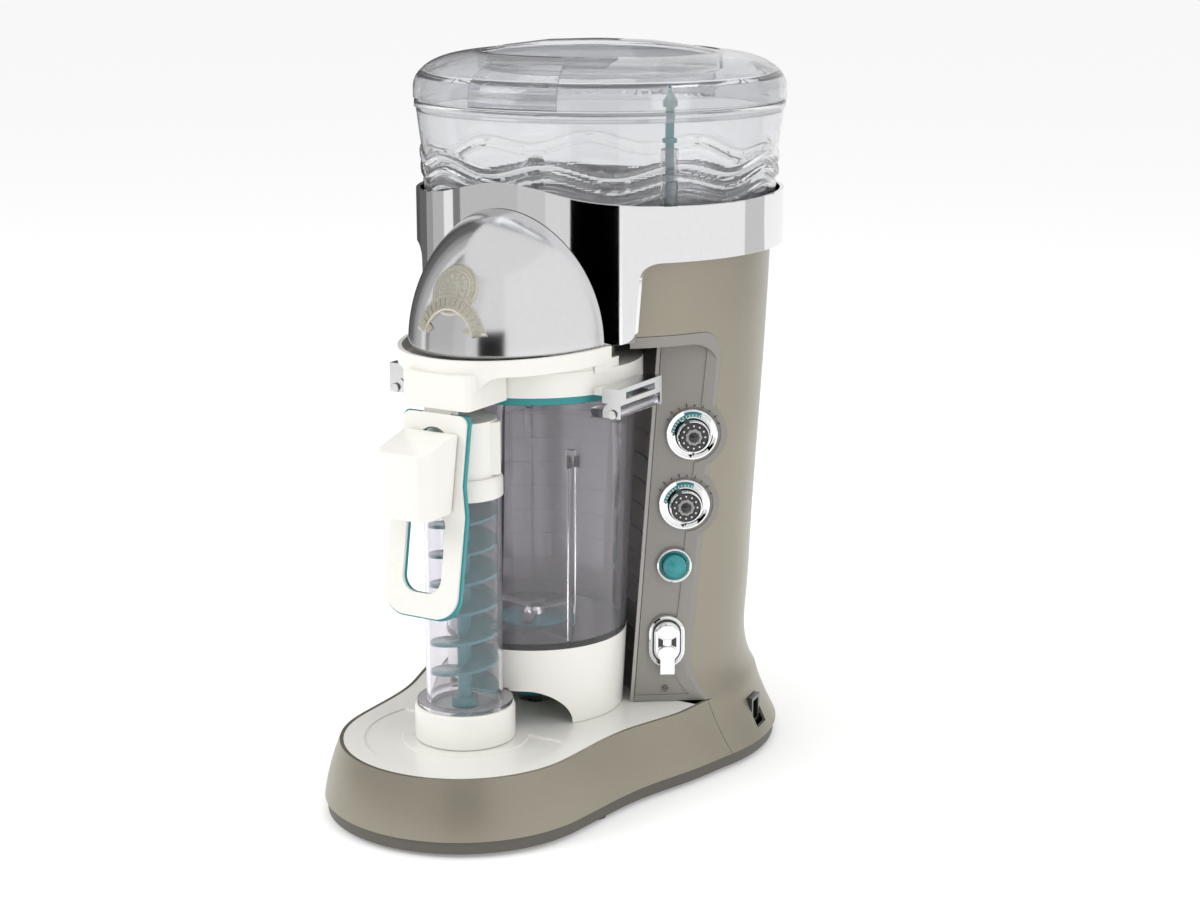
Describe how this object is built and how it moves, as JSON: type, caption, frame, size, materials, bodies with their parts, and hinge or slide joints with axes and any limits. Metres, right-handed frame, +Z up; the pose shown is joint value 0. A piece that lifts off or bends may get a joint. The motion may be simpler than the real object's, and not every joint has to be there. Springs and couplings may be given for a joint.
{
  "type": "slushie machine",
  "caption": "Countertop frozen-drink machine: lidded ice reservoir and shaver over a chrome head, clear blending jar with auger column, spout and lever, side controls.",
  "frame": {"origin": "centre of the bounding box at the level of the surface the machine stands on", "axes": "+Z up, -Y towards the front (spout and lever), +X towards the side with the controls"},
  "size_m": [0.268, 0.416, 0.519],
  "materials": {
    "bronze_paint": "satin",
    "dark_base": "matt",
    "taupe_plastic": "satin",
    "bay_plastic": "matt",
    "white_plastic": "satin",
    "clear_plastic": "clear",
    "chrome": "mirror polish",
    "badge_metal": "polished",
    "teal_plastic": "satin",
    "teal_rubber": "matt",
    "black_plastic": "gloss",
    "black_rubber": "matt",
    "steel": "brushed",
    "motor_steel": "satin",
    "grey_plastic": "matt",
    "nylon": "matt",
    "board_green": "satin",
    "brass": "satin",
    "lamp_lens": "clear"
  },
  "bodies": {
    "housing": {"base_skirt": "bronze_paint", "base_pan": "dark_base", "deck": "white_plastic", "column_shell": "bronze_paint", "control_panel": "taupe_plastic", "side_cover": "taupe_plastic", "bay_liner": "bay_plastic", "chrome_collar": "chrome", "head_frame": "grey_plastic", "shave_motor": "motor_steel", "shave_gearbox": "grey_plastic", "blend_motor": "motor_steel", "motor_mount": "grey_plastic", "drive_bearings": "steel", "auger_motor": "motor_steel", "auger_bracket": "steel", "drive_belt": "black_rubber", "control_board": "board_green", "panel_switches": "black_plastic", "interlock_switches": "black_plastic", "control_bezels": "chrome", "status_lamp": "lamp_lens", "button_spring": "steel", "power_inlet": "black_plastic", "feet": "black_rubber", "base_screws": "steel"},
    "shave_drive": {"shave_shaft": "steel"},
    "motor_drive": {"motor_pulley": "nylon"},
    "jar_drive": {"driven_pulley": "nylon", "drive_spindle": "steel"},
    "auger_drive": {"auger_gear": "nylon"},
    "pinion": {"auger_pinion": "brass"},
    "upper_dial": {"upper_dial": "black_plastic"},
    "lower_dial": {"lower_dial": "black_plastic"},
    "start_button": {"start_button": "teal_plastic"},
    "mode_rocker": {"mode_rocker": "chrome"},
    "jar_plunger": {"jar_plunger": "teal_plastic"},
    "jar_unit": {"jar": "clear_plastic", "jar_skirt": "white_plastic", "blade_nut": "teal_plastic", "jar_lid": "white_plastic", "lid_gasket": "teal_rubber", "dome": "chrome", "badge": "badge_metal", "auger_tube": "clear_plastic", "tube_foot": "white_plastic", "spout_elbow": "white_plastic", "spout_nozzle": "white_plastic", "hinge_pins": "steel"},
    "lever": {"dispensing_lever": "white_plastic", "lever_trim": "teal_plastic"},
    "right_clip": {"jar_clip_right": "steel"},
    "left_clip": {"jar_clip_left": "steel"},
    "blades": {"blades": "steel"},
    "auger": {"auger": "teal_plastic"},
    "reservoir": {"ice_reservoir": "clear_plastic", "shave_plate": "steel"},
    "paddle": {"ice_paddle": "grey_plastic"},
    "reservoir_lid": {"reservoir_lid": "clear_plastic"},
    "interlock_rod": {"interlock_rod": "teal_plastic"}
  },
  "joints": [
    {"name": "jar_lift", "type": "slide", "parent": "housing", "child": "jar_unit", "axis": [0, 0, 1], "range_m": [0, 0.008]},
    {"name": "plunger_lift", "type": "slide", "parent": "housing", "child": "jar_plunger", "axis": [0, 0, 1], "range_m": [0, 0.008]},
    {"name": "reservoir_lift", "type": "slide", "parent": "housing", "child": "reservoir", "axis": [0, 0, 1], "range_m": [0, 0.06]},
    {"name": "lid_lift", "type": "slide", "parent": "reservoir", "child": "reservoir_lid", "axis": [0, 0, 1], "range_m": [0, 0.08]},
    {"name": "interlock_press", "type": "slide", "parent": "reservoir", "child": "interlock_rod", "axis": [0, 0, 1], "range_m": [-0.003, 0], "stiffness_N_per_m": 150, "springref_m": 0.004},
    {"name": "start_press", "type": "slide", "parent": "housing", "child": "start_button", "axis": [-0.5736, 0.8192, 0], "range_m": [0, 0.0025], "stiffness_N_per_m": 300, "springref_m": -0.003},
    {"name": "upper_dial_turn", "type": "hinge", "parent": "housing", "child": "upper_dial", "pos_m": [0.10154, 0.02908, 0.2495], "axis": [0.5736, -0.8192, 0], "range_deg": [-135, 135]},
    {"name": "lower_dial_turn", "type": "hinge", "parent": "housing", "child": "lower_dial", "pos_m": [0.09744, 0.02621, 0.1988], "axis": [0.5736, -0.8192, 0], "range_deg": [-135, 135]},
    {"name": "mode_tilt", "type": "hinge", "parent": "housing", "child": "mode_rocker", "pos_m": [0.08474, 0.02343, 0.0975], "axis": [0.8192, 0.5736, 0], "range_deg": [-4, 4], "stiffness_Nm_per_rad": 0.6},
    {"name": "lever_swing", "type": "hinge", "parent": "jar_unit", "child": "lever", "pos_m": [0, -0.1335, 0.293], "axis": [1, 0, 0], "range_deg": [0, 6], "stiffness_Nm_per_rad": 0.2, "springref_deg": -8.59},
    {"name": "right_clip_swing", "type": "hinge", "parent": "jar_unit", "child": "right_clip", "pos_m": [0.0888, -0.031, 0.279], "axis": [0, 1, 0], "range_deg": [0, 100]},
    {"name": "left_clip_swing", "type": "hinge", "parent": "jar_unit", "child": "left_clip", "pos_m": [-0.0888, -0.031, 0.279], "axis": [0, -1, 0], "range_deg": [0, 100]},
    {"name": "jar_drive_spin", "type": "hinge", "parent": "housing", "child": "jar_drive", "pos_m": [0, -0.019, 0.03], "axis": [0, 0, 1], "continuous": true},
    {"name": "motor_spin", "type": "hinge", "parent": "housing", "child": "motor_drive", "pos_m": [0, 0.118, 0.03], "axis": [0, 0, 1], "continuous": true},
    {"name": "blade_spin", "type": "hinge", "parent": "jar_unit", "child": "blades", "pos_m": [0, -0.019, 0.1], "axis": [0, 0, 1], "continuous": true},
    {"name": "auger_drive_spin", "type": "hinge", "parent": "housing", "child": "auger_drive", "pos_m": [0, -0.11, 0.03], "axis": [0, 0, 1], "continuous": true},
    {"name": "pinion_spin", "type": "hinge", "parent": "housing", "child": "pinion", "pos_m": [0, -0.1375, 0.034], "axis": [0, 0, 1], "continuous": true},
    {"name": "auger_spin", "type": "hinge", "parent": "jar_unit", "child": "auger", "pos_m": [0, -0.11, 0.15], "axis": [0, 0, 1], "continuous": true},
    {"name": "shave_spin", "type": "hinge", "parent": "housing", "child": "shave_drive", "pos_m": [0, 0.074, 0.385], "axis": [0, 0, 1], "continuous": true},
    {"name": "paddle_spin", "type": "hinge", "parent": "reservoir", "child": "paddle", "pos_m": [0, 0.074, 0.41], "axis": [0, 0, 1], "continuous": true}
  ],
  "couplings": [
    {"joint": "plunger_lift", "follows": "jar_lift", "ratio": 1},
    {"joint": "motor_spin", "follows": "jar_drive_spin", "ratio": 2.0526},
    {"joint": "blade_spin", "follows": "jar_drive_spin", "ratio": 1},
    {"joint": "pinion_spin", "follows": "auger_drive_spin", "ratio": -4},
    {"joint": "auger_spin", "follows": "auger_drive_spin", "ratio": 1},
    {"joint": "shave_spin", "follows": "paddle_spin", "ratio": 1}
  ]
}
